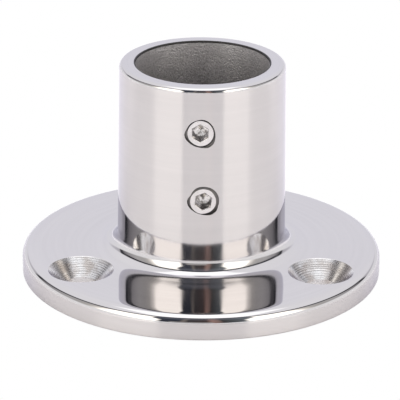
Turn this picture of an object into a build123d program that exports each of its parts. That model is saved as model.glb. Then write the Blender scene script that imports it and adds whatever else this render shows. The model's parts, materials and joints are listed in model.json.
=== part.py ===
"""Round 90 degree stanchion base for a 25.4 mm (1 inch) rail tube.

One investment-cast flange and socket, and the two M6 set screws that clamp the tube.
Millimetres. The origin is the centre of the flange's underside, +Z is the socket's axis,
and the set screws enter from -Y.
"""

from build123d import *
from math import cos, radians, sin, tan
import os

# Flange
FLANGE_D = 70.0
FLANGE_T = 4.9
FLANGE_TOP_EDGE_R = 1.8
FLANGE_BOTTOM_EDGE_R = 0.3

# Socket: the outer wall has casting draft, the bore has none
HEIGHT = 42.4
SOCKET_TOP_D = 31.9
SOCKET_ROOT_D = 32.8
SOCKET_TOP_EDGE_R = 0.95
NECK_FILLET_R = 3.5
BORE_D = 25.7
BORE_MOUTH_R = 0.3

# The tube stops on a ledge at the bottom of the bore, open in the middle for water and wires
LEDGE_T = 3.0
LEDGE_HOLE_D = 19.0

# Deck screws: evenly spaced countersunk holes, the first of them straight behind the socket
BOLT_COUNT = 3
BOLT_CIRCLE_D = 53.0
FIRST_BOLT_ANGLE = 90.0
BOLT_HOLE_D = 6.5
COUNTERSINK_D = 12.7
COUNTERSINK_ANGLE = 90.0
COUNTERSINK_EDGE_R = 0.35

# Set screws: M6, plain at the thread's outside diameter, in plain holes with running clearance
SET_SCREW_D = 6.0
SET_SCREW_LENGTH = 3.3
SET_SCREW_HOLE_D = 6.1
HEX_ACROSS_FLATS = 3.0
HEX_DEPTH = 2.2
DRIVE_END_CHAMFER = 0.5
POINT_CHAMFER = 0.7
CUP_D = 3.0
CUP_ANGLE = 140.0

# Where each set screw stands: its height, its turn about the socket's axis from -Y, its drive
# end's distance from that axis, and how far its hexagon is turned clockwise from corner up.
# The two holes aren't drilled quite in line.
SET_SCREWS = {
    "upper_set_screw": {"z": 33.7, "turn": -1.1, "drive_end_r": 16.0, "hex_turn": 0.0},
    "lower_set_screw": {"z": 20.3, "turn": 1.4, "drive_end_r": 16.6, "hex_turn": 8.0},
}


def screw_plane(place):
    """The plane of a set screw's drive end. Its z axis points out of the socket."""
    turn = radians(place["turn"])
    outward = Vector(sin(turn), -cos(turn), 0)
    centre = outward * place["drive_end_r"] + Vector(0, 0, place["z"])
    return Plane(origin=centre, x_dir=(cos(turn), sin(turn), 0), z_dir=outward)


def circle_at(part, diameter, height):
    """The part's circular edge about the Z axis with this diameter, at this height."""
    rings = part.edges().filter_by(GeomType.CIRCLE)
    rings = [e for e in rings if abs(e.radius - diameter / 2) < 0.01]
    return [e for e in rings if abs(e.arc_center.Z - height) < 0.01]


def turned_casting():
    """The flange and socket before drilling: one turned shape with its edges rounded."""
    with BuildPart() as body:
        with BuildSketch(Plane.XZ):
            Polygon(
                (LEDGE_HOLE_D / 2, 0),
                (FLANGE_D / 2, 0),
                (FLANGE_D / 2, FLANGE_T),
                (SOCKET_ROOT_D / 2, FLANGE_T),
                (SOCKET_TOP_D / 2, HEIGHT),
                (BORE_D / 2, HEIGHT),
                (BORE_D / 2, LEDGE_T),
                (LEDGE_HOLE_D / 2, LEDGE_T),
                align=None,
            )
        revolve(axis=Axis.Z)
        fillet(circle_at(body.part, SOCKET_ROOT_D, FLANGE_T), NECK_FILLET_R)
        fillet(circle_at(body.part, FLANGE_D, FLANGE_T), FLANGE_TOP_EDGE_R)
        fillet(circle_at(body.part, FLANGE_D, 0), FLANGE_BOTTOM_EDGE_R)
        fillet(circle_at(body.part, SOCKET_TOP_D, HEIGHT), SOCKET_TOP_EDGE_R)
        fillet(circle_at(body.part, BORE_D, HEIGHT), BORE_MOUTH_R)
    return body.part


def countersunk_hole():
    """What one deck screw hole removes, standing on the flange's underside."""
    mouth_r = COUNTERSINK_D / 2
    hole_r = BOLT_HOLE_D / 2
    cone_depth = (mouth_r - hole_r) / tan(radians(COUNTERSINK_ANGLE / 2))
    with BuildPart() as hole:
        with BuildSketch(Plane.XZ):
            Polygon(
                (0, 0),
                (hole_r, 0),
                (hole_r, FLANGE_T - cone_depth),
                (mouth_r, FLANGE_T),
                (0, FLANGE_T),
                align=None,
            )
        revolve(axis=Axis.Z)
    return hole.part


def base_casting():
    """The turned casting with its deck screw holes and set screw holes."""
    with BuildPart() as casting:
        add(turned_casting())
        with PolarLocations(BOLT_CIRCLE_D / 2, BOLT_COUNT, start_angle=FIRST_BOLT_ANGLE):
            add(countersunk_hole(), mode=Mode.SUBTRACT)
        mouths = [
            e
            for e in casting.edges().filter_by(GeomType.CIRCLE)
            if abs(e.radius - COUNTERSINK_D / 2) < 0.01
        ]
        fillet(mouths, COUNTERSINK_EDGE_R)
        for place in SET_SCREWS.values():
            with BuildSketch(Plane(origin=(0, 0, place["z"]), z_dir=screw_plane(place).z_dir)):
                Circle(SET_SCREW_HOLE_D / 2)
            extrude(amount=SOCKET_ROOT_D, mode=Mode.SUBTRACT)
    return casting.part


def set_screw():
    """A cup point set screw. Its drive end is at z = 0 and its point at z = -SET_SCREW_LENGTH."""
    screw_r = SET_SCREW_D / 2
    cup_r = CUP_D / 2
    cup_depth = cup_r / tan(radians(CUP_ANGLE / 2))
    with BuildPart() as screw:
        with BuildSketch(Plane.XZ):
            Polygon(
                (0, 0),
                (screw_r - DRIVE_END_CHAMFER, 0),
                (screw_r, -DRIVE_END_CHAMFER),
                (screw_r, POINT_CHAMFER - SET_SCREW_LENGTH),
                (screw_r - POINT_CHAMFER, -SET_SCREW_LENGTH),
                (cup_r, -SET_SCREW_LENGTH),
                (0, cup_depth - SET_SCREW_LENGTH),
                align=None,
            )
        revolve(axis=Axis.Z)
        with BuildSketch(Plane.XY):
            RegularPolygon(HEX_ACROSS_FLATS / 2, side_count=6, major_radius=False, rotation=30)
        extrude(amount=-HEX_DEPTH, mode=Mode.SUBTRACT)
    return screw.part


def main():
    """Write each sub-part to its own file."""
    nodes = {"base_casting": base_casting()}
    for name, place in SET_SCREWS.items():
        nodes[name] = screw_plane(place).location * Rot(Z=-place["hex_turn"]) * set_screw()
    os.makedirs("parts", exist_ok=True)
    for name, part in nodes.items():
        part.label = name
        export_step(part, f"parts/{name}.step")
        print(name, "volume", round(part.volume, 1), "mm3, valid", part.is_valid)


main()
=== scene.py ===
"""Looks of the round stanchion base: the polished casting, its two set screws and a studio.

The casting and the screws are built again as fine meshes, with cut threads, turning marks and
exact normals. Lengths in this script are in millimetres and angles in degrees, unless a name
says otherwise. Skin.make() turns them into metres. An azimuth is measured from -Y towards +X.
"""

import json
from math import atan, ceil, cos, floor, hypot, pi, radians, sin, tan

import bpy
import numpy as np
from mathutils import Matrix, Vector


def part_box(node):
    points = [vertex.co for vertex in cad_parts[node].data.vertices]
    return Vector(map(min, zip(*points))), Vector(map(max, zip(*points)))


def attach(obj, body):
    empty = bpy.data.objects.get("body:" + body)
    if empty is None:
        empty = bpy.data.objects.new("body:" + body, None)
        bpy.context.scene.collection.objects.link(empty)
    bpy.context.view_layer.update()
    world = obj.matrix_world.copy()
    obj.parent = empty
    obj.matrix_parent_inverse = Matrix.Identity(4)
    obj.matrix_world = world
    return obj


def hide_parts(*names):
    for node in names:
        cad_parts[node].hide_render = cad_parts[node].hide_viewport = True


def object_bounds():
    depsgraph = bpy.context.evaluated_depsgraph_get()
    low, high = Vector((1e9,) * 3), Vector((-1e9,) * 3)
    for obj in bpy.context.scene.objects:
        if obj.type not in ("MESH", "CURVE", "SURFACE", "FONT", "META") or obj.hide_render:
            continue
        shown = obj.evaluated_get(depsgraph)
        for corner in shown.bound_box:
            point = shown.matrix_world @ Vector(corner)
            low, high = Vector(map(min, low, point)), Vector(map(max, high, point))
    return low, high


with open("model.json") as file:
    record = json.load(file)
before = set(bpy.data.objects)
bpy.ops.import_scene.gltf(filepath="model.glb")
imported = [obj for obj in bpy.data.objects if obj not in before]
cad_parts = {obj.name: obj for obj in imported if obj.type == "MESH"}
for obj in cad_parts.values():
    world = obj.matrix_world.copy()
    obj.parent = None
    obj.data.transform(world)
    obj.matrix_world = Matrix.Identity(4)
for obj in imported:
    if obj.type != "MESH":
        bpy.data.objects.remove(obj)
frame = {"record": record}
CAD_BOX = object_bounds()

MM = 0.001
UP = np.array([0.0, 0.0, 1.0])

# From the frame
MOUNTS = {mount["name"]: mount for mount in frame["record"]["mounts"]}
FLANGE_R = min(-CAD_BOX[0].x, -CAD_BOX[0].y, CAD_BOX[1].x, CAD_BOX[1].y) / MM
HEIGHT = CAD_BOX[1].z / MM
BORE_R = MOUNTS["tube_bore"]["dims"]["r_mm"]
LEDGE_T = MOUNTS["tube_bore"]["pos_m"][2] / MM - MOUNTS["tube_bore"]["dims"]["length_mm"]
BOLT_CIRCLE_R = MOUNTS["deck_holes"]["dims"]["pcd_mm"] / 2
BOLT_COUNT = MOUNTS["deck_holes"]["dims"]["count"]
BOLT_HOLE_R = MOUNTS["deck_holes"]["dims"]["hole_r_mm"]

# The casting's other driving sizes
FLANGE_T = 4.9
FLANGE_TOP_EDGE_R = 1.8
FLANGE_BOTTOM_EDGE_R = 0.3
SOCKET_TOP_R = 15.95
SOCKET_ROOT_R = 16.4
SOCKET_TOP_EDGE_R = 0.95
NECK_FILLET_R = 3.15
BORE_MOUTH_R = 0.3

# Polishing has rolled the flange's top into its neck fillet and its edge. Each rounding ends at
# this slope, and from there the slope dies away over this length.
ROLL_SLOPE = 21.2
NECK_ROLL = 1.4
EDGE_ROLL = 0.5

# The ledge that stops the tube
LEDGE_HOLE_R = 9.5
LEDGE_CORNER_R = 0.5
LEDGE_LIP_R = 0.4

# Deck holes. The ridges are the marks that the countersink cutter leaves. Each has a share of
# the full height in this range, and is out of its place by up to this share of the pitch.
FIRST_BOLT_AZIMUTH = 180.0
BOLT_AZIMUTHS = [FIRST_BOLT_AZIMUTH + 360 * i / BOLT_COUNT for i in range(BOLT_COUNT)]
COUNTERSINK_R = 6.35
COUNTERSINK_EDGE_R = 0.35
COUNTERSINK_ANGLE = 90.0
RIDGE_PITCH = 0.45
RIDGE_HEIGHT = 0.009
RIDGE_HEIGHT_SHARES = (0.2, 1.0)
RIDGE_WOBBLE = 0.2
RIDGE_SEED = 11

# M6 thread, right handed, and the set screws. The breaks are small roundings and chamfers.
PITCH = 1.0
THREAD_ROOT_R = 3.15
THREAD_DEPTH = 0.6
THREAD_CLEARANCE = 0.18
MOUTH_BREAK = 0.08
SCREW_LENGTH = 3.3
SCREW_FACE_R = 2.5
SCREW_POINT_R = 2.3
CUP_R = 1.5
CUP_ANGLE = 140.0
HEX_APOTHEM = 1.5
HEX_MOUTH_BREAK = 0.1
HEX_DEPTH = 2.2
HEX_DRILL_R = 1.25
HEX_DRILL_DEPTH = 0.3

# As seen from outside, run_out is the angle, counter-clockwise from the right, at which the root
# of the thread meets the socket's wall, and hex_turn turns the hexagon clockwise from corner up.
SCREWS = {
    "upper_set_screw": {"run_out": -30.0, "hex_turn": 0.0},
    "lower_set_screw": {"run_out": -38.0, "hex_turn": 8.0},
}

# How finely the meshes are divided. A turned grid has one column to a degree. A window is what
# a hole takes out of such a grid: half its width in columns, its rows, and its size.
COLUMNS = 360
WALL_WINDOW = {"columns": 15, "rows": 30, "half_height": 4.2}
DECK_WINDOW = {"columns": 18, "rows": 24, "radii": (19.5, 33.4)}
ROWS_PER_TURN = 12
ROWS_PER_RIDGE = 6
COLUMNS_PER_HEX_SIDE = 20
MOUTH_SEARCH_STEPS = 40
WELD = 1e-5

# Material slots of the casting
POLISHED, CAST, MACHINED, THREAD, UNDERSIDE = range(5)
# Material slots of a set screw
STEEL, RECESS, GROOVES = range(3)


# Meshes


class Skin:
    """Gathers grids of points with their true normals, and welds them into one mesh."""

    def __init__(self):
        self.points = []
        self.normals = []
        self.quads = []
        self.slots = []
        self.count = 0

    def add(self, points, normals, slot, closed=True, keep=None):
        """Adds a grid of quads. closed joins its last column to its first; keep picks columns."""
        rows, columns = points.shape[:2]
        here = self.count + np.arange(rows * columns).reshape(rows, columns)
        beside = np.roll(here, -1, axis=1)
        quads = np.stack([here[:-1], beside[:-1], beside[1:], here[1:]], axis=-1)
        if not closed:
            quads = quads[:, :-1]
        if keep is not None:
            quads = quads[:, keep]
        quads = quads.reshape(-1, 4)
        self.points.append(points.reshape(-1, 3))
        self.normals.append(np.broadcast_to(normals, points.shape).reshape(-1, 3))
        self.quads.append(quads)
        self.slots.append(np.full(len(quads), slot))
        self.count += rows * columns

    def make(self, name, materials):
        """The welded mesh as an object, in metres, with the normals that were given."""
        points = np.concatenate(self.points)
        normals = np.concatenate(self.normals)
        normals = normals / np.linalg.norm(normals, axis=1, keepdims=True)
        quads = np.concatenate(self.quads)
        slots = np.concatenate(self.slots)

        corners = points[quads]
        facing = np.cross(corners[:, 2] - corners[:, 0], corners[:, 3] - corners[:, 1])
        inside_out = (facing * normals[quads].sum(axis=1)).sum(axis=1) < 0
        quads[inside_out] = quads[inside_out][:, ::-1]

        grid = np.round(points / WELD).astype(np.int64)
        kept, first, welded = np.unique(grid, axis=0, return_index=True, return_inverse=True)
        loops = welded.reshape(-1)[quads]
        distinct = loops != np.roll(loops, -1, axis=1)
        whole = distinct.sum(axis=1) >= 3
        whole &= (loops[:, 0] != loops[:, 2]) & (loops[:, 1] != loops[:, 3])
        loops, distinct, quads, slots = loops[whole], distinct[whole], quads[whole], slots[whole]

        mesh = bpy.data.meshes.new(name)
        faces = [face[keep].tolist() for face, keep in zip(loops, distinct)]
        mesh.from_pydata((points[first] * MM).tolist(), [], faces)
        for material in materials:
            mesh.materials.append(material)
        mesh.polygons.foreach_set("material_index", slots.astype(np.int32))
        mesh.normals_split_custom_set(normals[quads[distinct]].tolist())
        mesh.update()
        made = bpy.data.objects.new(name, mesh)
        bpy.context.scene.collection.objects.link(made)
        return made


def line(start, end, steps):
    """Profile rows of a straight run: r, z and the normal, which is on the run's right."""
    start = np.array(start, float)
    end = np.array(end, float)
    along = (end - start) / np.linalg.norm(end - start)
    normals = np.tile([along[1], -along[0]], (steps + 1, 1))
    return np.hstack([np.linspace(start, end, steps + 1), normals])


def arc(centre, radius, first, last, steps, hollow=False):
    """Profile rows of a rounding from one angle to another. A hollow one faces its centre."""
    angles = np.radians(np.linspace(first, last, steps + 1))
    spokes = np.stack([np.cos(angles), np.sin(angles)], axis=1)
    return np.hstack([np.array(centre) + radius * spokes, -spokes if hollow else spokes])


def right_normals(path):
    """Profile rows of a path of r and z points, with the normals on its right."""
    along = np.gradient(path, axis=0)
    along /= np.linalg.norm(along, axis=1, keepdims=True)
    return np.hstack([path, along[:, 1:], -along[:, :1]])


def outward(azimuth):
    """Unit vectors that point away from the socket's axis at these azimuths."""
    angle = np.radians(azimuth)
    return np.stack([np.sin(angle), -np.cos(angle), 0 * angle], axis=-1)


def turned(rows, spokes):
    """Points and normals of profile rows turned about the Z axis, along these unit vectors."""
    r, z, normal_r, normal_z = (rows[:, i, None, None] for i in range(4))
    return r * spokes + z * UP, normal_r * spokes + normal_z * UP


def window_edge(rows, half_columns):
    """Row numbers and column offsets once round the edge of a window cut in a grid."""
    path = [(0, column) for column in range(-half_columns, half_columns)]
    path += [(row, half_columns) for row in range(rows)]
    path += [(rows, column) for column in range(half_columns, -half_columns, -1)]
    path += [(row, -half_columns) for row in range(rows, 0, -1)]
    return np.array(path)


def outside_windows(centres, half_columns):
    """The columns of a turned grid that no window centred at these azimuths takes away."""
    column = np.arange(COLUMNS)
    keep = np.ones(COLUMNS, bool)
    for centre in centres:
        offset = (column - int(centre) + COLUMNS // 2) % COLUMNS - COLUMNS // 2
        keep &= (offset < -half_columns) | (offset >= half_columns)
    return keep


def web(skin, inner, outer, steps, surface, slot):
    """Fills between two closed curves on a surface. surface turns places into points."""
    share = np.linspace(0, 1, steps + 1)[:, None, None]
    points, normals = surface(inner[None] * (1 - share) + outer[None] * share)
    skin.add(points, normals, slot)


def wall_r(z):
    """The socket's outside radius at a height. The wall has casting draft."""
    return SOCKET_ROOT_R - DRAFT * (z - FLANGE_T)


def bore_r(z):
    """The bore's radius at a height. The bore has no draft."""
    return BORE_R + 0 * z


DRAFT = (SOCKET_ROOT_R - SOCKET_TOP_R) / (HEIGHT - FLANGE_T)
DRAFT_ANGLE = np.degrees(atan(DRAFT))
ROLL = tan(radians(ROLL_SLOPE))
NECK_CENTRE_Z = FLANGE_T + ROLL * NECK_ROLL + NECK_FILLET_R * cos(radians(ROLL_SLOPE))
NECK_CENTRE = (wall_r(NECK_CENTRE_Z) + NECK_FILLET_R * hypot(1, DRAFT), NECK_CENTRE_Z)
DECK_IN = NECK_CENTRE[0] - NECK_FILLET_R * sin(radians(ROLL_SLOPE))
RIM_CENTRE = (
    wall_r(HEIGHT - SOCKET_TOP_EDGE_R) - SOCKET_TOP_EDGE_R * hypot(1, DRAFT),
    HEIGHT - SOCKET_TOP_EDGE_R,
)
TOP_EDGE_CENTRE = (
    FLANGE_R - FLANGE_TOP_EDGE_R,
    FLANGE_T - ROLL * EDGE_ROLL - FLANGE_TOP_EDGE_R * cos(radians(ROLL_SLOPE)),
)
DECK_OUT = TOP_EDGE_CENTRE[0] + FLANGE_TOP_EDGE_R * sin(radians(ROLL_SLOPE))
BOTTOM_EDGE_CENTRE = (FLANGE_R - FLANGE_BOTTOM_EDGE_R, FLANGE_BOTTOM_EDGE_R)


def deck(r):
    """Height and slope of the flange's top at a radius, between its two roundings."""
    near_neck = ROLL * np.exp((DECK_IN - r) / NECK_ROLL)
    near_edge = ROLL * np.exp((r - DECK_OUT) / EDGE_ROLL)
    return FLANGE_T + NECK_ROLL * near_neck - EDGE_ROLL * near_edge, near_neck + near_edge


def deck_rows(first, last, steps):
    """Profile rows of the flange's top, from one radius to another."""
    r = np.linspace(first, last, steps + 1)
    z, slope = deck(r)
    return np.stack([r, z, slope, np.ones(steps + 1)], axis=1)


def on_wall(place):
    """Points and normals of the socket's wall at places given as azimuth and z."""
    azimuth, z = place[..., 0], place[..., 1]
    spokes = outward(azimuth)
    return wall_r(z)[..., None] * spokes + z[..., None] * UP, spokes + DRAFT * UP


def on_bore(place):
    """Points and normals of the bore at places given as azimuth and z."""
    azimuth, z = place[..., 0], place[..., 1]
    spokes = outward(azimuth)
    return BORE_R * spokes + z[..., None] * UP, -spokes


def on_deck(place):
    """Points and normals of the flange's top at places given as x and y."""
    r = np.linalg.norm(place, axis=-1, keepdims=True)
    z, slope = deck(r)
    normals = np.concatenate([place * slope / r, np.ones_like(z)], axis=-1)
    return np.concatenate([place, z], axis=-1), normals


def on_underside(place):
    """Points and normals of the flange's underside at places given as x and y."""
    height = np.zeros(place.shape[:-1] + (1,))
    return np.concatenate([place, height], axis=-1), -UP


def thread(turns):
    """An inside thread's radius and its slope. Its root is at half turns, its crest at whole."""
    offset = turns - np.floor(turns) - 0.5
    root_half_width = 1 / 16
    crest_half_width = 1 / 8
    flank_width = 0.5 - crest_half_width - root_half_width
    share = np.clip((np.abs(offset) - root_half_width) / flank_width, 0, 1)
    radius = THREAD_ROOT_R - THREAD_DEPTH * share**2 * (3 - 2 * share)
    slope = -THREAD_DEPTH * 6 * share * (1 - share) * np.sign(offset) / flank_width
    return radius, slope


class ScrewHole:
    """A set screw's axis and thread, in the casting and on the screw alike.

    A place on it is an angle in radians, counter-clockwise as seen from outside, with a
    radius and a distance out from the socket's axis.
    """

    def __init__(self, node):
        facts = SCREWS[node]
        low, high = (np.array(corner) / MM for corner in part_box(node))
        centre = (low + high) / 2
        self.azimuth = np.degrees(np.arctan2(centre[0], -centre[1]))
        self.z = centre[2]
        self.drive_end = hypot(centre[0], centre[1]) + SCREW_LENGTH / 2
        self.point_end = self.drive_end - SCREW_LENGTH
        self.out = outward(self.azimuth)
        self.right = outward(self.azimuth + 90)
        self.hex_turn = facts["hex_turn"]
        # How far out the curved wall is on average, round the hole
        mouth = wall_r(self.z) - THREAD_ROOT_R**2 / (4 * wall_r(self.z))
        self.phase = 0.5 + mouth / PITCH - facts["run_out"] / 360

    def radial(self, angle):
        """Unit vectors away from the screw's axis."""
        return np.cos(angle)[..., None] * self.right + np.sin(angle)[..., None] * UP

    def around(self, angle):
        """Unit vectors along increasing angle."""
        return np.cos(angle)[..., None] * UP - np.sin(angle)[..., None] * self.right

    def at(self, angle, radius, out):
        """Points at an angle and a radius from the screw's axis."""
        radius = np.broadcast_to(radius, angle.shape)
        out = np.broadcast_to(out, angle.shape)
        offset = radius[..., None] * self.radial(angle)
        return out[..., None] * self.out + self.z * UP + offset

    def thread_at(self, angle, out):
        """The inside thread's radius and slope there."""
        return thread(self.phase + angle / (2 * pi) - out / PITCH)

    def surface_out(self, angle, radius, socket_r):
        """How far out the socket's wall or bore lies at an angle and a radius."""
        sideways = radius * np.cos(angle)
        return np.sqrt(socket_r(self.z + radius * np.sin(angle)) ** 2 - sideways**2)

    def mouth(self, angle, socket_r, inward):
        """Radius and depth where the thread starts, under a small rounding of its edge.

        Each depends on the other, so a guess is put right in steps. inward is -1 at the wall
        and 1 at the bore.
        """
        radius = np.full(angle.shape, THREAD_ROOT_R)
        for _ in range(MOUTH_SEARCH_STEPS):
            edge = self.surface_out(angle, radius + MOUTH_BREAK, socket_r)
            radius = self.thread_at(angle, edge + inward * MOUTH_BREAK)[0]
        return radius, edge + inward * MOUTH_BREAK

    def add_thread(self, skin, angle, low, high, slot, screw=False):
        """Adds the thread between two depths. Its rows follow the helix."""
        lead = PITCH * angle / (2 * pi)
        step = PITCH / ROWS_PER_TURN
        first = floor((low.min() - lead.max()) / step) - 1
        last = ceil((high.max() - lead.min()) / step) + 1
        rows = np.arange(first, last + 1)[:, None] * step
        out = np.clip(rows + lead, low, high)
        angle = np.broadcast_to(angle, out.shape)
        radius, slope = self.thread_at(angle, out)
        normals = (
            self.radial(angle)
            + (slope / PITCH)[..., None] * self.out
            - (slope / (2 * pi * radius))[..., None] * self.around(angle)
        )
        if screw:
            radius = radius - THREAD_CLEARANCE
            for limit, facing in (
                (SCREW_FACE_R + self.drive_end - out, self.out),
                (SCREW_POINT_R + out - self.point_end, -self.out),
            ):
                chamfered = radius > limit
                radius = np.minimum(radius, limit)
                normals[chamfered] = self.radial(angle)[chamfered] + facing
        else:
            normals = -normals
        skin.add(self.at(angle, radius, out), normals, slot, closed=False)


def add_screw_hole(skin, hole, wall_rows, bore_rows):
    """Adds one threaded hole, from its window in the socket's wall to that in the bore."""
    edge = window_edge(WALL_WINDOW["rows"], WALL_WINDOW["columns"])
    wall_place = np.stack([edge[:, 1], wall_rows[edge[:, 0], 1]], axis=1).astype(float)
    bore_place = np.stack([edge[:, 1], bore_rows[edge[:, 0], 1]], axis=1).astype(float)
    sideways = np.radians(wall_place[:, 0] - hole.azimuth) * wall_r(hole.z)
    angle = np.unwrap(np.arctan2(wall_place[:, 1] - hole.z, sideways))
    angle = np.append(angle, angle[0] + 2 * pi)

    depths = []
    for place, socket_r, inward, surface, slot in (
        (wall_place, wall_r, -1, on_wall, POLISHED),
        (bore_place, bore_r, 1, on_bore, CAST),
    ):
        radius, depth = hole.mouth(angle, socket_r, inward)
        depths.append(depth)
        lean = np.radians(np.linspace(0, 90, 4))[:, None]
        across = radius + MOUTH_BREAK * (1 - np.sin(lean))
        out = depth - inward * MOUTH_BREAK * np.cos(lean)
        turn = np.broadcast_to(angle, across.shape)
        normals = (
            -np.sin(lean)[..., None] * hole.radial(turn)
            - inward * np.cos(lean)[..., None] * hole.out
        )
        skin.add(hole.at(turn, across, out), normals, THREAD, closed=False)
        mouth = hole.at(angle[:-1], across[0, :-1], out[0, :-1])
        azimuth = np.degrees(np.arctan2(mouth[:, 0], -mouth[:, 1]))
        web(skin, np.stack([azimuth, mouth[:, 2]], axis=1), place, 8, surface, slot)
    hole.add_thread(skin, angle, depths[1], depths[0], THREAD)


def countersink_rows(rng):
    """Profile rows of a deck hole about its own axis, with the cutter's marks on its cone."""
    lean = COUNTERSINK_ANGLE / 2
    edge_r = COUNTERSINK_R + COUNTERSINK_EDGE_R * tan(radians(lean / 2))
    mouth = arc((edge_r, FLANGE_T - COUNTERSINK_EDGE_R), COUNTERSINK_EDGE_R, 90, 90 + lean, 5)
    cone_depth = (COUNTERSINK_R - BOLT_HOLE_R) / tan(radians(lean))
    cone_end = np.array([BOLT_HOLE_R, FLANGE_T - cone_depth])
    cone_start = mouth[-1, :2]
    slant = np.linalg.norm(cone_end - cone_start)
    ridges = round(slant / RIDGE_PITCH)
    steps = ROWS_PER_RIDGE * ridges
    share = np.linspace(0, 1, steps + 1)
    heights = rng.uniform(*RIDGE_HEIGHT_SHARES, ridges + 1)
    height = np.interp(share * ridges, range(ridges + 1), heights)
    wobbles = rng.uniform(-RIDGE_WOBBLE, RIDGE_WOBBLE, ridges + 1)
    wobble = np.interp(share * ridges, range(ridges + 1), wobbles)
    fade = np.clip(np.minimum(share, 1 - share) * ridges, 0, 1)
    cut = RIDGE_HEIGHT * height * fade * (np.cos(2 * pi * (share * ridges + wobble)) - 1) / 2
    facing = np.array([-cos(radians(lean)), sin(radians(lean))])
    path = np.linspace(cone_start, cone_end, steps + 1) + cut[:, None] * facing
    shank = line(cone_end, (BOLT_HOLE_R, 0), 4)
    return mouth, right_normals(path), shank


def add_deck_hole(skin, azimuth, radii, rng):
    """Adds one countersunk deck hole, and the flange round it on both sides."""
    edge = window_edge(DECK_WINDOW["rows"], DECK_WINDOW["columns"])
    border = radii[edge[:, 0], None] * outward(azimuth + edge[:, 1])[:, :2]
    centre = BOLT_CIRCLE_R * outward(azimuth)[:2]
    angle = np.arctan2(*(border - centre).T[::-1])
    spokes = np.stack([np.cos(angle), np.sin(angle), 0 * angle], axis=1)
    mouth, cone, shank = countersink_rows(rng)
    middle = np.append(centre, 0.0)
    rim = centre + mouth[0, 0] * spokes[:, :2]
    rim_points, rim_normals = on_deck(rim)
    for rows, slot in ((mouth, POLISHED), (cone, MACHINED), (shank, MACHINED)):
        points, normals = turned(rows, spokes)
        points = middle + points
        if rows is mouth:
            # The mouth's outer edge follows the flange's top, which isn't quite flat
            fade = np.linspace(1, 0, len(rows))[:, None, None]
            points[..., 2:] += fade * (rim_points[:, 2:] - FLANGE_T)
            normals = normals + fade * (rim_normals - UP)
        skin.add(points, normals, slot)
    web(skin, rim, border, 4, on_deck, POLISHED)
    web(skin, centre + BOLT_HOLE_R * spokes[:, :2], border, 8, on_underside, UNDERSIDE)


def add_flange(add_rows, keep):
    """Adds the underside, the flange and its neck. keep picks the columns between deck holes."""
    near, far = DECK_WINDOW["radii"]
    rows = DECK_WINDOW["rows"]
    add_rows(line((LEDGE_HOLE_R, 0), (near, 0), 6), UNDERSIDE)
    add_rows(line((near, 0), (far, 0), rows), UNDERSIDE, keep)
    add_rows(line((far, 0), (BOTTOM_EDGE_CENTRE[0], 0), 1), UNDERSIDE)
    add_rows(arc(BOTTOM_EDGE_CENTRE, FLANGE_BOTTOM_EDGE_R, -90, 0, 4), POLISHED)
    side = line((FLANGE_R, BOTTOM_EDGE_CENTRE[1]), (FLANGE_R, TOP_EDGE_CENTRE[1]), 3)
    add_rows(side, POLISHED)
    add_rows(arc(TOP_EDGE_CENTRE, FLANGE_TOP_EDGE_R, 0, 90 - ROLL_SLOPE, 12), POLISHED)
    add_rows(deck_rows(DECK_OUT, far, 4), POLISHED)
    add_rows(deck_rows(far, near, rows), POLISHED, keep)
    add_rows(deck_rows(near, DECK_IN, 8), POLISHED)
    neck = arc(NECK_CENTRE, NECK_FILLET_R, 270 - ROLL_SLOPE, 180 + DRAFT_ANGLE, 16, hollow=True)
    add_rows(neck, POLISHED)


def add_socket(add_rows, holes, keep):
    """Adds the wall from its foot to its rim, and the bore from its mouth to the ledge's hole.

    keep picks the columns beside the set screws' holes. Returns, for each hole from the lowest
    up, the rows of its windows in the wall and in the bore.
    """
    half = WALL_WINDOW["half_height"]
    rows = WALL_WINDOW["rows"]
    foot = NECK_CENTRE[1] - NECK_FILLET_R * sin(radians(DRAFT_ANGLE))
    shoulder = RIM_CENTRE[1] + SOCKET_TOP_EDGE_R * sin(radians(DRAFT_ANGLE))
    windows = []
    below = foot
    bore_below = LEDGE_T + LEDGE_CORNER_R
    for hole in holes:
        low, high = hole.z - half, hole.z + half
        add_rows(line((wall_r(below), below), (wall_r(low), low), 6), POLISHED)
        wall_rows = line((wall_r(low), low), (wall_r(high), high), rows)
        add_rows(wall_rows, POLISHED, keep)
        add_rows(line((BORE_R, low), (BORE_R, bore_below), 6), CAST)
        bore_rows = line((BORE_R, high), (BORE_R, low), rows)
        add_rows(bore_rows, CAST, keep)
        windows.append((wall_rows, bore_rows[::-1]))
        below = high
        bore_below = high
    add_rows(line((wall_r(below), below), (wall_r(shoulder), shoulder), 4), POLISHED)
    add_rows(arc(RIM_CENTRE, SOCKET_TOP_EDGE_R, DRAFT_ANGLE, 90, 10), POLISHED)
    add_rows(line((RIM_CENTRE[0], HEIGHT), (BORE_R + BORE_MOUTH_R, HEIGHT), 2), POLISHED)

    mouth_centre = (BORE_R + BORE_MOUTH_R, HEIGHT - BORE_MOUTH_R)
    add_rows(arc(mouth_centre, BORE_MOUTH_R, 90, 180, 5), CAST)
    add_rows(line((BORE_R, mouth_centre[1]), (BORE_R, bore_below), 4), CAST)
    corner = (BORE_R - LEDGE_CORNER_R, LEDGE_T + LEDGE_CORNER_R)
    add_rows(arc(corner, LEDGE_CORNER_R, 0, -90, 5, hollow=True), CAST)
    lip = (LEDGE_HOLE_R + LEDGE_LIP_R, LEDGE_T - LEDGE_LIP_R)
    add_rows(line((corner[0], LEDGE_T), (lip[0], LEDGE_T), 3), CAST)
    add_rows(arc(lip, LEDGE_LIP_R, 90, 180, 5), CAST)
    add_rows(line((LEDGE_HOLE_R, lip[1]), (LEDGE_HOLE_R, 0), 3), CAST)
    return windows


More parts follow.
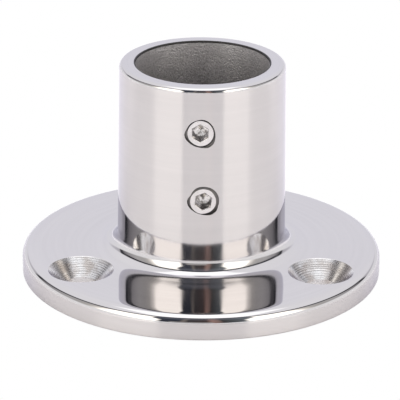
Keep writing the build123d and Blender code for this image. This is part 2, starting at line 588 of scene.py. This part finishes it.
def build_casting(materials):
    """The flange and socket with every hole, as one closed mesh."""
    skin = Skin()
    spokes = outward(np.arange(COLUMNS))

    def add_rows(rows, slot, keep=None):
        """Adds profile rows turned about the socket's axis."""
        skin.add(*turned(rows, spokes), slot, keep=keep)

    holes = sorted((ScrewHole(node) for node in SCREWS), key=lambda hole: hole.z)
    add_flange(add_rows, outside_windows(BOLT_AZIMUTHS, DECK_WINDOW["columns"]))
    windows = add_socket(add_rows, holes, outside_windows([0], WALL_WINDOW["columns"]))
    for hole, (wall_rows, bore_rows) in zip(holes, windows):
        add_screw_hole(skin, hole, wall_rows, bore_rows)
    radii = np.linspace(*DECK_WINDOW["radii"], DECK_WINDOW["rows"] + 1)
    rng = np.random.default_rng(RIDGE_SEED)
    for azimuth in BOLT_AZIMUTHS:
        add_deck_hole(skin, azimuth, radii, rng)
    return skin.make("polished_base", materials)


def build_set_screw(node, name, materials):
    """A set screw with its thread, hexagon socket and cup point."""
    skin = Skin()
    hole = ScrewHole(node)
    sides = 6
    columns = COLUMNS_PER_HEX_SIDE
    bearing = np.linspace(30, 390, sides * columns + 1)
    angle = np.radians(bearing - hole.hex_turn)
    low = np.full(angle.shape, hole.point_end)
    high = np.full(angle.shape, hole.drive_end)
    hole.add_thread(skin, angle, low, high, GROOVES, screw=True)

    # A hexagon's radius in all directions, for an apothem of 1. Its corners are exact.
    hexagon = 1 / np.cos((np.radians(bearing) + pi / 6) % (pi / 3) - pi / 6)
    hexagon[::columns] = 1 / cos(pi / 6)
    thread_r = hole.thread_at(angle, high)[0] - THREAD_CLEARANCE
    point_r = hole.thread_at(angle, low)[0] - THREAD_CLEARANCE

    def ring(rows, slot, facing):
        """Adds rows of a radius and a depth below the drive end. facing is radial, then out."""
        radii = np.array([np.broadcast_to(radius, angle.shape) for radius, _ in rows])
        depths = np.array([np.full(angle.shape, hole.drive_end - depth) for _, depth in rows])
        turn = np.broadcast_to(angle, radii.shape)
        normals = facing[0] * hole.radial(turn) + facing[1] * hole.out
        skin.add(hole.at(turn, radii, depths), normals, slot, closed=False)

    mouth = (HEX_APOTHEM + HEX_MOUTH_BREAK) * hexagon
    face_r = np.minimum(thread_r, SCREW_FACE_R)
    face_rows = [(mouth + (face_r - mouth) * share, 0) for share in (0, 0.25, 0.5, 0.75, 1)]
    ring(face_rows, STEEL, (0, 1))
    drill = HEX_DRILL_R * np.ones(angle.shape)
    ring([(HEX_APOTHEM * hexagon, HEX_DEPTH), (drill, HEX_DEPTH)], RECESS, (0, 1))
    drill_slope = HEX_DRILL_DEPTH / HEX_DRILL_R
    drill_rows = [(drill * share, HEX_DEPTH + HEX_DRILL_DEPTH * (1 - share)) for share in (1, 0.5, 0)]
    ring(drill_rows, RECESS, (-drill_slope, 1))
    cup_depth = CUP_R / tan(radians(CUP_ANGLE / 2))
    tip_r = np.minimum(point_r, SCREW_POINT_R)
    cup = CUP_R * np.ones(angle.shape)
    ring([(tip_r, SCREW_LENGTH), (cup, SCREW_LENGTH)], STEEL, (0, -1))
    cup_rows = [(cup * share, SCREW_LENGTH - cup_depth * (1 - share)) for share in (1, 0.6, 0.3, 0)]
    ring(cup_rows, STEEL, (-cup_depth / CUP_R, -1))

    for side in range(sides):
        part = slice(side * columns, (side + 1) * columns + 1)
        turn = angle[part][None].repeat(2, axis=0)
        middle = radians(60 * (side + 1) - hole.hex_turn)
        facing = -(cos(middle) * hole.right + sin(middle) * UP)
        wide = mouth[part]
        narrow = HEX_APOTHEM * hexagon[part]
        out = hole.drive_end - np.array([[0.0], [HEX_MOUTH_BREAK], [HEX_DEPTH]])
        break_points = hole.at(turn, np.stack([wide, narrow]), out[:2])
        skin.add(break_points, facing + hole.out, STEEL, closed=False)
        wall_points = hole.at(turn, np.stack([narrow, narrow]), out[1:])
        skin.add(wall_points, facing, RECESS, closed=False)
    return skin.make(name, materials)


# Materials


def add_node(tree, kind, inputs=None, **settings):
    """Adds a node. inputs maps a socket's name or number to a value or another's output."""
    node = tree.nodes.new(kind)
    for name, value in settings.items():
        setattr(node, name, value)
    for key, value in (inputs or {}).items():
        if isinstance(value, bpy.types.NodeSocket):
            tree.links.new(value, node.inputs[key])
        else:
            node.inputs[key].default_value = value
    return node


def calculate(tree, operation, *values):
    """The output of a Math node with these values or sockets."""
    return add_node(tree, "ShaderNodeMath", dict(enumerate(values)), operation=operation).outputs[0]


def vector_math(tree, operation, first, second):
    """A Vector Math node. Its output 0 is a vector, and its output 1 a number."""
    return add_node(tree, "ShaderNodeVectorMath", {0: first, 1: second}, operation=operation)


def remap(tree, value, low, high, new_low, new_high, smooth=False):
    """The output of a clamped Map Range node."""
    kind = "SMOOTHSTEP" if smooth else "LINEAR"
    inputs = {"Value": value, 1: low, 2: high, 3: new_low, 4: new_high}
    node = add_node(tree, "ShaderNodeMapRange", inputs, interpolation_type=kind, clamp=True)
    return node.outputs[0]


def mix_colors(tree, share, first, second, blend="MIX"):
    """The colour output of a Mix node. Its colour sockets are numbers 6 and 7."""
    inputs = {0: share, 6: first, 7: second}
    node = add_node(tree, "ShaderNodeMix", inputs, data_type="RGBA", blend_type=blend)
    return node.outputs[2]


def noise(tree, vector, scale, detail=3.0, roughness=0.5):
    """The value of a Noise texture. scale is in features to the metre."""
    inputs = {"Vector": vector, "Scale": scale, "Detail": detail, "Roughness": roughness}
    return add_node(tree, "ShaderNodeTexNoise", inputs).outputs[0]


def bump(tree, height, distance, normal=None):
    """A Bump node's normal. distance is the height of a full step, in metres."""
    inputs = {"Height": height, "Distance": distance}
    if normal is not None:
        inputs["Normal"] = normal
    return add_node(tree, "ShaderNodeBump", inputs).outputs[0]


# The tint of the metals' reflections at grazing angles
METAL_EDGE_TINT = (0.80, 0.80, 0.86, 1)
# The wall is a little hazy near its foot, where the polishing wheel hardly reaches
FOOT_HAZE = 0.10
FOOT_HAZE_RANGE = (14.0, 8.0)


def start_material(name, metallic=1.0):
    """A material, metal unless metallic is 0. Returns it, its tree, shader and place."""
    material = bpy.data.materials.new(name)
    material.use_nodes = True
    tree = material.node_tree
    shader = tree.nodes["Principled BSDF"]
    shader.inputs["Metallic"].default_value = metallic
    if metallic:
        shader.inputs["Specular Tint"].default_value = METAL_EDGE_TINT
    place = add_node(tree, "ShaderNodeTexCoord").outputs["Object"]
    return material, tree, shader, place


def lathe_vector(tree, place, along, across):
    """Coordinates that change slowly round the Z axis, and fast across the turning marks."""
    x, y, z = add_node(tree, "ShaderNodeSeparateXYZ", {0: place}).outputs
    squares = (calculate(tree, "MULTIPLY", side, side) for side in (x, y))
    radius = calculate(tree, "SQRT", calculate(tree, "ADD", *squares))
    marks = calculate(tree, "MULTIPLY", calculate(tree, "ADD", radius, z), across)
    inputs = {
        0: calculate(tree, "MULTIPLY", x, along),
        1: calculate(tree, "MULTIPLY", y, along),
        2: marks,
    }
    return add_node(tree, "ShaderNodeCombineXYZ", inputs).outputs[0]


def link_surface(tree, shader, color, roughness, normal):
    """Wires the three things that vary over a surface into its shader."""
    tree.links.new(color, shader.inputs["Base Color"])
    tree.links.new(roughness, shader.inputs["Roughness"])
    tree.links.new(normal, shader.inputs["Normal"])


def polished_steel():
    """Mirror-polished casting: buffing lines and streaks round the axis over slight waves."""
    material, tree, shader, place = start_material("polished_steel")
    lines = noise(tree, lathe_vector(tree, place, 60.0, 5200.0), 1.0, detail=2.0)
    streaks = noise(tree, lathe_vector(tree, place, 40.0, 1300.0), 1.0, detail=3.0)
    waves = noise(tree, place, 150.0, detail=1.0)
    haze = noise(tree, place, 45.0, detail=3.0)
    color = mix_colors(tree, haze, (0.635, 0.617, 0.61, 1), (0.60, 0.582, 0.575, 1))
    worn = remap(tree, streaks, 0.35, 0.65, 0.0, 0.3)
    color = mix_colors(tree, worn, color, (0.56, 0.545, 0.54, 1))
    height = add_node(tree, "ShaderNodeSeparateXYZ", {0: place}).outputs[2]
    near_foot = remap(tree, height, *(z * MM for z in FOOT_HAZE_RANGE), 0.0, FOOT_HAZE, smooth=True)
    off_flange = remap(tree, height, FLANGE_T * MM, NECK_CENTRE_Z * MM, 0.0, 1.0)
    foot_haze = calculate(tree, "MULTIPLY", near_foot, off_flange)
    all_over = remap(tree, haze, 0.35, 0.7, 0.028, 0.055)
    roughness = calculate(tree, "ADD", all_over, foot_haze)
    normal = bump(tree, waves, 1.2e-5)
    normal = bump(tree, streaks, 5e-7, normal)
    normal = bump(tree, lines, 5e-7, normal)
    link_surface(tree, shader, color, roughness, normal)
    return material


# Painted shade: the bore is painted darker deeper down and lighter near its mouth, and a thin painted
# dark line of shade and dark reflection lies on the mouth's edge
BORE_SHADE_FADE_RANGE = (HEIGHT - 11.0, HEIGHT - 1.0)
MOUTH_PAINTED_SHADE_RANGE = (HEIGHT - 0.42, HEIGHT - 0.32)


def cast_steel():
    """The bore as it was cast: dull and sandy, with fine pits, and painted shade: darker deeper down,
    with a dark line at the mouth's edge.
    """
    material, tree, shader, place = start_material("cast_steel", metallic=0.85)
    grain = noise(tree, place, 2600.0, detail=3.0, roughness=0.6)
    patches = noise(tree, place, 300.0, detail=3.0)
    pits = remap(tree, grain, 0.36, 0.5, 0.0, 1.0, smooth=True)
    height = add_node(tree, "ShaderNodeSeparateXYZ", {0: place}).outputs[2]
    # Mask that lifts the painted shade towards the bore's mouth
    near_mouth = remap(tree, height, *(z * MM for z in BORE_SHADE_FADE_RANGE), 0.0, 1.0)
    # Mask of the painted dark line of shade and dark reflection at the mouth's edge
    dark_tone_mix = remap(tree, height, *(z * MM for z in MOUTH_PAINTED_SHADE_RANGE), 0.0, 1.0)
    color = mix_colors(tree, patches, (0.65, 0.63, 0.625, 1), (0.90, 0.875, 0.87, 1))
    color = mix_colors(tree, pits, (0.58, 0.57, 0.565, 1), color)
    # Painted shade: the colour is darkened deeper in the bore and kept lighter towards the mouth
    shaded_deep_color = mix_colors(tree, 1.0, color, (0.62, 0.615, 0.62, 1), blend="MULTIPLY")
    color = mix_colors(tree, near_mouth, shaded_deep_color, color)
    # Painted shade and dark reflection: a thin near-black line painted on the mouth's rounding
    color = mix_colors(tree, dark_tone_mix, color, (0.05, 0.048, 0.045, 1))
    roughness = remap(tree, grain, 0.3, 0.7, 0.5, 0.3)
    normal = bump(tree, patches, 4e-5)
    normal = bump(tree, grain, 1.3e-4, normal)
    link_surface(tree, shader, color, roughness, normal)
    return material


def machined_steel():
    """The countersinks: fine cutter rings round each deck hole's own axis."""
    material, tree, shader, place = start_material("machined_steel")
    level = vector_math(tree, "MULTIPLY", place, (1, 1, 0)).outputs[0]
    nearest = None
    for azimuth in BOLT_AZIMUTHS:
        centre = tuple(outward(azimuth) * BOLT_CIRCLE_R * MM)
        distance = vector_math(tree, "DISTANCE", level, centre).outputs[1]
        nearest = distance if nearest is None else calculate(tree, "MINIMUM", nearest, distance)
    rings = calculate(tree, "MULTIPLY", nearest, 9000.0)
    marks = noise(tree, add_node(tree, "ShaderNodeCombineXYZ", {0: rings}).outputs[0], 1.0, detail=2.0)
    grain = noise(tree, place, 2500.0, detail=2.0)
    stains = remap(tree, noise(tree, place, 420.0, detail=3.0), 0.42, 0.62, 0.0, 1.0)
    color = mix_colors(tree, marks, (0.74, 0.73, 0.725, 1), (0.88, 0.875, 0.87, 1))
    color = mix_colors(tree, stains, color, (0.60, 0.56, 0.53, 1))
    roughness = remap(tree, marks, 0.3, 0.7, 0.18, 0.3)
    normal = bump(tree, marks, 4e-6)
    normal = bump(tree, grain, 2e-6, normal)
    link_surface(tree, shader, color, roughness, normal)
    return material


def thread_steel():
    """The threads in the holes and on the screws: torn grain, coloured near black in two dark tones.
    """
    material, tree, shader, place = start_material("thread_steel")
    grain = noise(tree, place, 4000.0, detail=3.0)
    dark_tone_mix = noise(tree, place, 700.0, detail=3.0)
    # The threads are coloured near black, mixed between two dark tones
    color = mix_colors(tree, dark_tone_mix, (0.05, 0.047, 0.045, 1), (0.22, 0.21, 0.205, 1))
    roughness = remap(tree, grain, 0.3, 0.7, 0.3, 0.5)
    link_surface(tree, shader, color, roughness, bump(tree, grain, 4e-6))
    return material


def faced_steel():
    """The underside: faced on a lathe, with visible concentric marks."""
    material, tree, shader, place = start_material("faced_steel")
    marks = noise(tree, lathe_vector(tree, place, 25.0, 3800.0), 1.0, detail=3.0)
    patches = noise(tree, place, 120.0, detail=3.0)
    color = mix_colors(tree, marks, (0.50, 0.49, 0.48, 1), (0.64, 0.63, 0.62, 1))
    roughness = remap(tree, patches, 0.3, 0.7, 0.24, 0.38)
    link_surface(tree, shader, color, roughness, bump(tree, marks, 8e-6))
    return material


def screw_steel():
    """The set screws outside: turned stainless steel with a light grain."""
    material, tree, shader, place = start_material("screw_steel")
    grain = noise(tree, place, 3500.0, detail=3.0)
    stains = noise(tree, place, 500.0, detail=3.0)
    color = mix_colors(tree, stains, (0.66, 0.64, 0.63, 1), (0.84, 0.82, 0.81, 1))
    roughness = remap(tree, grain, 0.3, 0.7, 0.14, 0.3)
    link_surface(tree, shader, color, roughness, bump(tree, grain, 4e-6))
    return material


def recess_steel():
    """The hexagon socket: broached steel, streaked along its depth, with grime on its floor."""
    material, tree, shader, place = start_material("recess_steel")
    stretched = vector_math(tree, "MULTIPLY", place, (9.0, 1.0, 9.0)).outputs[0]
    streaks = noise(tree, stretched, 700.0, detail=2.0)
    grime = noise(tree, place, 1500.0, detail=4.0, roughness=0.65)
    clean = remap(tree, grime, 0.35, 0.6, 0.0, 1.0)
    color = mix_colors(tree, clean, (0.16, 0.145, 0.135, 1), (0.78, 0.76, 0.74, 1))
    roughness = remap(tree, grime, 0.3, 0.7, 0.3, 0.12)
    normal = bump(tree, streaks, 6e-6)
    normal = bump(tree, grime, 1.2e-5, normal)
    link_surface(tree, shader, color, roughness, normal)
    return material


# Studio


def color_ramp(tree, value, stops):
    """The colour of a Color Ramp whose stops are pairs of a position and an RGB colour."""
    node = add_node(tree, "ShaderNodeValToRGB", {0: value})
    elements = node.color_ramp.elements
    while len(elements) < len(stops):
        elements.new(1.0)
    for element, (position, color) in zip(elements, stops):
        element.position = position
        element.color = color
    return node.outputs[0]


# The studio by azimuth from the front, in degrees: a softbox on each side that falls off towards
# the back, and a white backdrop behind. The same on the left and the right.
STUDIO_SIDES = (
    (28, (2.42, 2.33, 2.19)),
    (64, (2.42, 2.33, 2.19)),
    (69.5, (1.25, 1.2, 1.14)),
    (76, (0.66, 0.64, 0.62)),
    (84, (0.56, 0.55, 0.55)),
    (95, (0.58, 0.57, 0.58)),
    (110, (0.44, 0.43, 0.45)),
    (118, (0.30, 0.29, 0.31)),
    (122, (0.20, 0.20, 0.21)),
    (124, (0.06, 0.06, 0.07)),
    (129, (0.06, 0.06, 0.07)),
    (131, (0.66, 0.65, 0.70)),
    (148, (0.80, 0.79, 0.85)),
    (160, (1.1, 1.1, 1.16)),
    (180, (1.1, 1.1, 1.16)),
)
# The dark gap between the softboxes, from left to right, with faint streaks of the room
STUDIO_GAP = (
    (-29, (0.06, 0.065, 0.085)),
    (-14, (0.05, 0.057, 0.077)),
    (-11, (0.26, 0.23, 0.21)),
    (-8, (0.07, 0.065, 0.07)),
    (4, (0.09, 0.07, 0.07)),
    (8, (0.42, 0.27, 0.24)),
    (12, (0.30, 0.21, 0.19)),
    (14.5, (0.07, 0.068, 0.07)),
    (20, (0.10, 0.11, 0.12)),
    (29, (0.17, 0.19, 0.21)),
)
GAP_CENTRE = 1.5
GAP_EDGE = 28.0
GAP_SOFT = 2.0
# The gap widens by this much on each side, between these elevations
GAP_SPREAD = 10.0
GAP_SPREAD_RANGE = (30.0, 44.0)
# A pale table edge low down in the gap
TABLE = (0.5, 0.48, 0.48)
TABLE_AZIMUTH = (-19.0, 8.0)
TABLE_ELEVATION = (8.0, 17.0)
# All is white below the horizon, which is higher at the sides and rises between these azimuths
HORIZON = (1.12, 1.12, 1.15)
HORIZON_TOP_AHEAD = 6.0
HORIZON_TOP_ASIDE = 14.0
HORIZON_RISE = (36.0, 63.0)
# The dim room above the softboxes, mixed in by up to this share between these elevations
UPPER = (0.35, 0.37, 0.43)
UPPER_SHARE = 0.5
UPPER_RANGE = (38.0, 60.0)
# A round overhead panel behind the object, brighter in its upper middle
PANEL_ELEVATION = 64.0
PANEL_HALF_ANGLE = 50.0
PANEL_LOW = (1.1, 1.1, 1.16)
PANEL_HIGH = (1.72, 1.73, 1.78)
PANEL_RISE = (57.0, 65.0)
PANEL_HALF_WIDTH = 0.38
PANEL_WIDTH_SOFT = 0.04
# A dark border round the panel. It fades out at the back, between these y on the unit sphere.
BORDER = (0.03, 0.03, 0.04)
BORDER_WIDTH = 7.5
BORDER_FADE = (0.35, 0.6)
# Half the width of the other soft edges, in radians of azimuth or on the unit sphere
EDGE_SOFT = 0.02
# The world's strength. The studio's colours are divided by it in the node tree.
STUDIO_GAIN = 2.5


def dimmed(color):
    """A studio colour as the node tree holds it, with an alpha."""
    return (*(channel / STUDIO_GAIN for channel in color), 1.0)


def sphere_heights(elevations):
    """The heights on the unit sphere of two elevations."""
    return [sin(radians(elevation)) for elevation in elevations]


def soft_edge(tree, value, place, soft, rising=True):
    """A number that goes from 0 to 1 as the value passes a place, or from 1 to 0."""
    ends = (0.0, 1.0) if rising else (1.0, 0.0)
    return remap(tree, value, place - soft, place + soft, *ends)


def product(tree, first, *others):
    """The output of Math nodes that multiply these together."""
    for other in others:
        first = calculate(tree, "MULTIPLY", first, other)
    return first


def softboxes_and_gap(tree, azimuth, aside, z):
    """The colour of the studio all round, by azimuth. The gap is wider higher up."""
    sides = color_ramp(tree, aside, [(place / 180, dimmed(value)) for place, value in STUDIO_SIDES])
    first, last = STUDIO_GAP[0][0], STUDIO_GAP[-1][0]
    across = remap(tree, azimuth, radians(first), radians(last), 0.0, 1.0)
    stops = [((place - first) / (last - first), dimmed(value)) for place, value in STUDIO_GAP]
    spread = remap(tree, z, *sphere_heights(GAP_SPREAD_RANGE), 0.0, radians(GAP_SPREAD))
    off_centre = calculate(tree, "SUBTRACT", azimuth, radians(GAP_CENTRE))
    off_centre = calculate(tree, "ABSOLUTE", off_centre)
    gap_place = calculate(tree, "SUBTRACT", off_centre, spread)
    in_gap = soft_edge(tree, gap_place, radians(GAP_EDGE), radians(GAP_SOFT), rising=False)
    return mix_colors(tree, in_gap, sides, color_ramp(tree, across, stops))


def with_table(tree, color, azimuth, z):
    """The studio's colour with the table edge in front."""
    left, right = (radians(place) for place in TABLE_AZIMUTH)
    low, high = sphere_heights(TABLE_ELEVATION)
    on_table = product(
        tree,
        soft_edge(tree, azimuth, left, EDGE_SOFT),
        soft_edge(tree, azimuth, right, EDGE_SOFT, rising=False),
        soft_edge(tree, z, low, EDGE_SOFT),
        soft_edge(tree, z, high, EDGE_SOFT, rising=False),
    )
    return mix_colors(tree, on_table, color, dimmed(TABLE))


def with_panel(tree, color, direction):
    """The studio's colour with the overhead panel and its dark border."""
    x, y, z = add_node(tree, "ShaderNodeSeparateXYZ", {0: direction}).outputs
    aim = (0.0, cos(radians(PANEL_ELEVATION)), sin(radians(PANEL_ELEVATION)))
    toward = vector_math(tree, "DOT_PRODUCT", direction, aim).outputs[1]
    border_end = cos(radians(PANEL_HALF_ANGLE + BORDER_WIDTH))
    in_border = product(
        tree,
        soft_edge(tree, toward, border_end, EDGE_SOFT),
        remap(tree, y, *BORDER_FADE, 1.0, 0.0),
    )
    color = mix_colors(tree, in_border, color, dimmed(BORDER))
    sideways = calculate(tree, "DIVIDE", calculate(tree, "ABSOLUTE", x), z)
    bright = product(
        tree,
        remap(tree, z, *sphere_heights(PANEL_RISE), 0.0, 1.0, smooth=True),
        soft_edge(tree, sideways, PANEL_HALF_WIDTH, PANEL_WIDTH_SOFT, rising=False),
    )
    panel = mix_colors(tree, bright, dimmed(PANEL_LOW), dimmed(PANEL_HIGH))
    in_panel = soft_edge(tree, toward, cos(radians(PANEL_HALF_ANGLE)), EDGE_SOFT)
    return mix_colors(tree, in_panel, color, panel)


def build_studio_light():
    """The world by direction: softboxes, dark gap, table edge, horizon and overhead panel."""
    world = bpy.data.worlds.new("studio")
    bpy.context.scene.world = world
    world.use_nodes = True
    tree = world.node_tree
    direction = add_node(tree, "ShaderNodeTexCoord").outputs["Generated"]
    x, y, z = add_node(tree, "ShaderNodeSeparateXYZ", {0: direction}).outputs
    azimuth = calculate(tree, "ARCTAN2", x, calculate(tree, "MULTIPLY", y, -1.0))
    aside = calculate(tree, "DIVIDE", calculate(tree, "ABSOLUTE", azimuth), pi)

    color = softboxes_and_gap(tree, azimuth, aside, z)
    color = with_table(tree, color, azimuth, z)
    upper = remap(tree, z, *sphere_heights(UPPER_RANGE), 0.0, UPPER_SHARE)
    color = mix_colors(tree, upper, color, dimmed(UPPER))
    horizon_tops = sphere_heights((HORIZON_TOP_AHEAD, HORIZON_TOP_ASIDE))
    horizon = remap(tree, aside, *(place / 180 for place in HORIZON_RISE), *horizon_tops)
    above = soft_edge(tree, calculate(tree, "SUBTRACT", z, horizon), 0.0, EDGE_SOFT)
    color = mix_colors(tree, above, dimmed(HORIZON), color)
    color = with_panel(tree, color, direction)

    background = tree.nodes["Background"]
    tree.links.new(color, background.inputs["Color"])
    background.inputs["Strength"].default_value = STUDIO_GAIN


# The floor. Its glow rises from the front to the back of the object, over this range of y.
FLOOR_HALF_SIZE_M = 4.0
FLOOR_GAP_M = 0.0001
FLOOR_GLOW = 0.13
FLOOR_GLOW_BEHIND = 0.27
FLOOR_GLOW_RANGE_M = (0.0, 0.05)


def build_floor():
    """A plain white floor with a slight gloss, shown pure white, and clear from below.

    Its glow, which the object mirrors, stands for the light that the softboxes throw on it.
    """
    half = FLOOR_HALF_SIZE_M
    mesh = bpy.data.meshes.new("floor")
    corners = [(-half, -half), (half, -half), (half, half), (-half, half)]
    mesh.from_pydata([(x, y, -FLOOR_GAP_M) for x, y in corners], [], [(0, 1, 2, 3)])
    floor_object = bpy.data.objects.new("floor", mesh)
    bpy.context.scene.collection.objects.link(floor_object)
    material, tree, shader, place = start_material("white_floor", metallic=0.0)
    shader.inputs["Base Color"].default_value = (0.93, 0.905, 0.91, 1)
    shader.inputs["Roughness"].default_value = 0.2
    shader.inputs["IOR"].default_value = 1.3
    shader.inputs["Emission Color"].default_value = (1, 0.98, 0.985, 1)
    y = add_node(tree, "ShaderNodeSeparateXYZ", {0: place}).outputs[1]
    glow = remap(tree, y, *FLOOR_GLOW_RANGE_M, FLOOR_GLOW, FLOOR_GLOW_BEHIND, smooth=True)
    tree.links.new(glow, shader.inputs["Emission Strength"])
    seen = add_node(tree, "ShaderNodeLightPath").outputs["Is Camera Ray"]
    white = add_node(tree, "ShaderNodeEmission", {0: (1, 1, 1, 1), 1: 1.0}).outputs[0]
    shown = add_node(tree, "ShaderNodeMixShader", {0: seen, 1: shader.outputs[0], 2: white}).outputs[0]
    backfacing = add_node(tree, "ShaderNodeNewGeometry").outputs["Backfacing"]
    clear = add_node(tree, "ShaderNodeBsdfTransparent").outputs[0]
    mixed = add_node(tree, "ShaderNodeMixShader", {0: backfacing, 1: shown, 2: clear})
    tree.links.new(mixed.outputs[0], tree.nodes["Material Output"].inputs["Surface"])
    mesh.materials.append(material)


CAMERA_PLACE_M = (0.00126, -0.47144, 0.20129)
CAMERA_AIM_M = (-0.00030, 0.0, 0.01405)
CAMERA_ROLL = 0.42
CAMERA_LENS = 234.3


def build_camera():
    """A long lens a little above the object, in front of the set screws."""
    data = bpy.data.cameras.new("camera")
    data.lens = CAMERA_LENS
    data.clip_start = 0.01
    camera = bpy.data.objects.new("camera", data)
    bpy.context.scene.collection.objects.link(camera)
    place = Vector(CAMERA_PLACE_M)
    ahead = (Vector(CAMERA_AIM_M) - place).normalized()
    right = ahead.cross(Vector((0, 0, 1))).normalized()
    up = right.cross(ahead)
    level = Matrix((right, up, -ahead)).transposed().to_4x4()
    roll = Matrix.Rotation(radians(CAMERA_ROLL), 4, "Z")
    camera.matrix_world = Matrix.Translation(place) @ level @ roll
    bpy.context.scene.camera = camera


def main():
    """Builds the pieces and hangs them on the frame's bodies."""
    build_camera()
    threads = thread_steel()
    casting = build_casting([polished_steel(), cast_steel(), machined_steel(), threads, faced_steel()])
    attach(casting, "casting")
    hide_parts("base_casting")
    steels = [screw_steel(), recess_steel(), threads]
    for node, body in (("upper_set_screw", "upper_screw"), ("lower_set_screw", "lower_screw")):
        screw = build_set_screw(node, node + "_steel", steels)
        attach(screw, body)
        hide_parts(node)
    build_floor()
    build_studio_light()
    bpy.context.scene.view_settings.view_transform = "Standard"


main()
